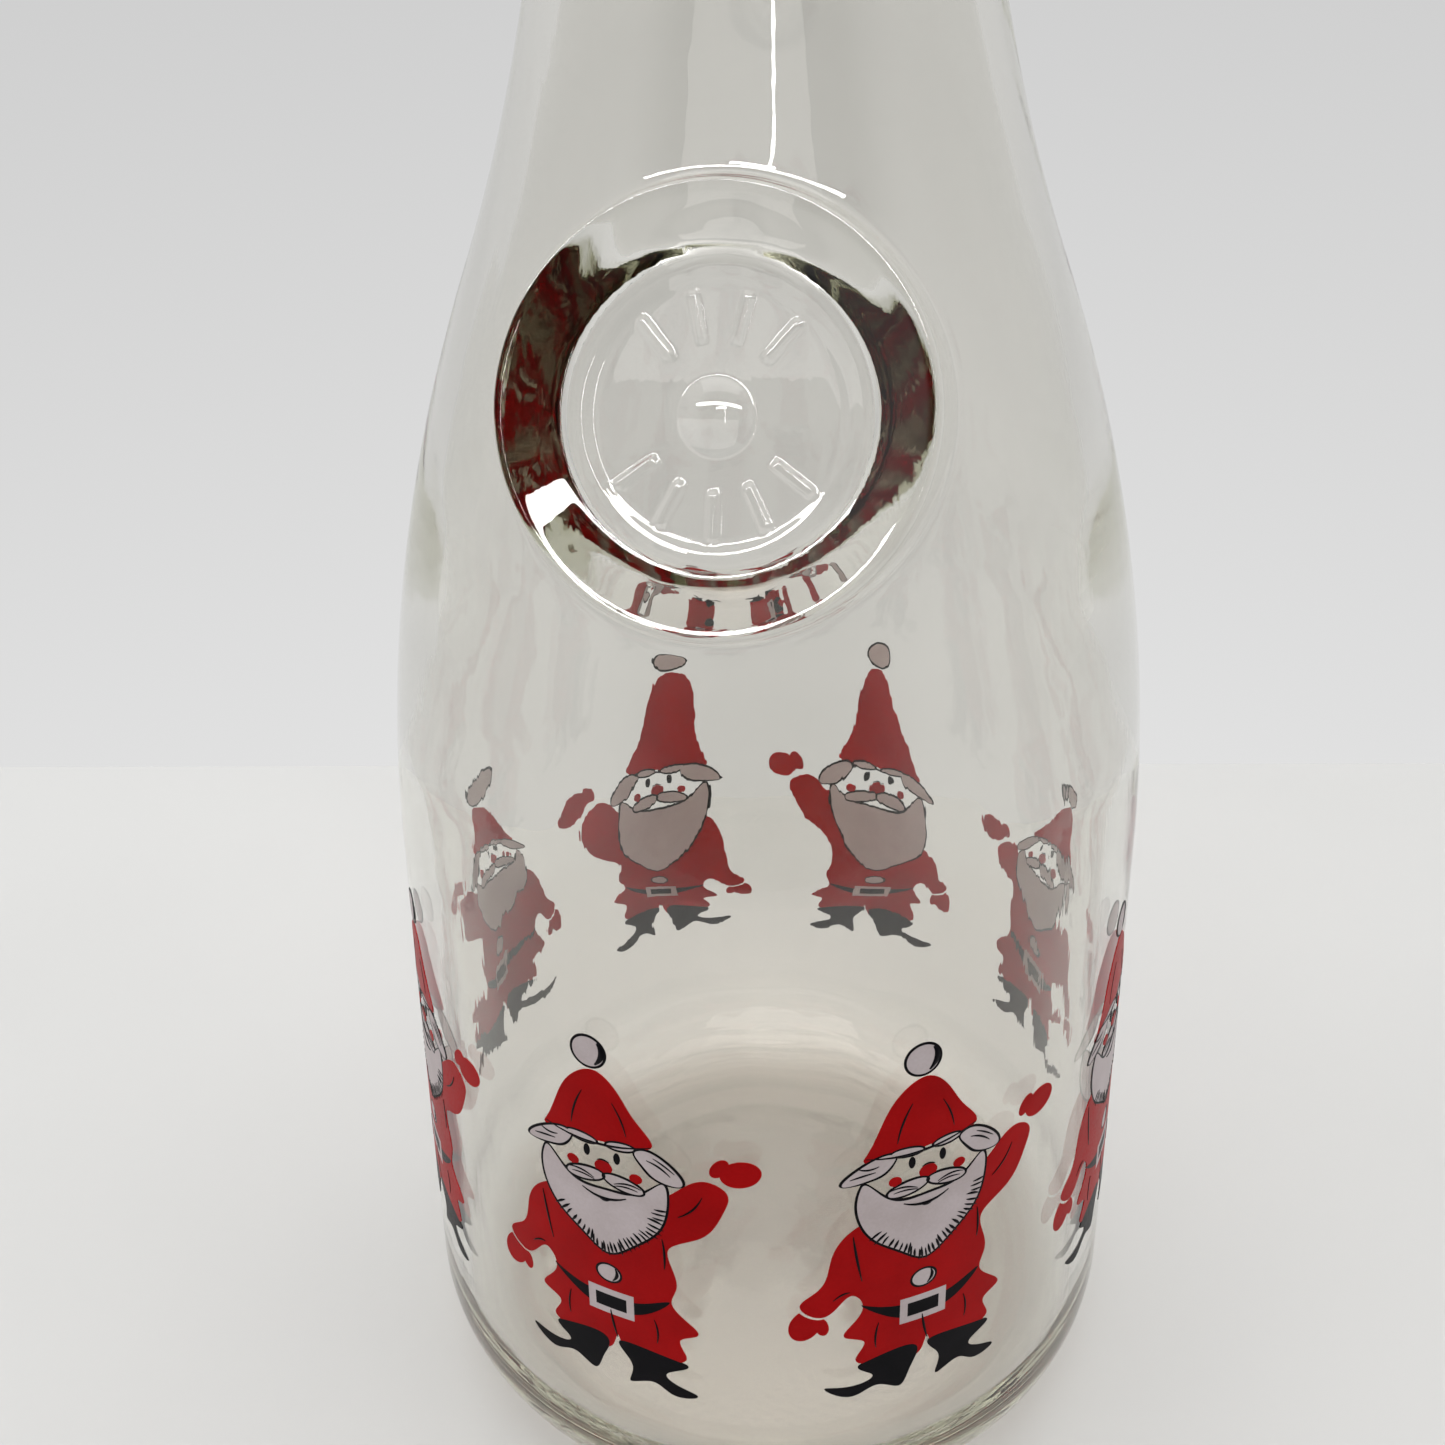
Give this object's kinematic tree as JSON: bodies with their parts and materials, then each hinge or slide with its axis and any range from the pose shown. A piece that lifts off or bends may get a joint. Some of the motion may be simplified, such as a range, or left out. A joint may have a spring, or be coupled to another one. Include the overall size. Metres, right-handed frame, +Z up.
{
  "type": "glass milk bottle",
  "caption": "Clear one-litre glass milk bottle with a moulded round seal on its shoulder and a band of printed winter gnomes in red, white and black enamel.",
  "frame": {"origin": "centre of the base, on the surface that the bottle stands on", "axes": "+Z up along the bottle's axis, -Y towards the moulded seal on the shoulder"},
  "size_m": [0.1012, 0.1012, 0.264],
  "materials": {
    "clear_glass": "clear fire-polished soda-lime glass, faintly green where it is thick",
    "red_enamel": "fired glossy ceramic ink, red",
    "white_enamel": "fired glossy ceramic ink, cool white",
    "black_enamel": "fired glossy ceramic ink, blue-black"
  },
  "bodies": {
    "root": {"glass_bottle": "clear_glass", "gnome_1_red_enamel": "red_enamel", "gnome_1_white_enamel": "white_enamel", "gnome_1_black_enamel": "black_enamel", "gnome_2_red_enamel": "red_enamel", "gnome_2_white_enamel": "white_enamel", "gnome_2_black_enamel": "black_enamel", "gnome_3_red_enamel": "red_enamel", "gnome_3_white_enamel": "white_enamel", "gnome_3_black_enamel": "black_enamel", "gnome_4_red_enamel": "red_enamel", "gnome_4_white_enamel": "white_enamel", "gnome_4_black_enamel": "black_enamel", "gnome_5_red_enamel": "red_enamel", "gnome_5_white_enamel": "white_enamel", "gnome_5_black_enamel": "black_enamel", "gnome_6_red_enamel": "red_enamel", "gnome_6_white_enamel": "white_enamel", "gnome_6_black_enamel": "black_enamel", "gnome_7_red_enamel": "red_enamel", "gnome_7_white_enamel": "white_enamel", "gnome_7_black_enamel": "black_enamel", "gnome_8_red_enamel": "red_enamel", "gnome_8_white_enamel": "white_enamel", "gnome_8_black_enamel": "black_enamel"}
  },
  "joints": []
}
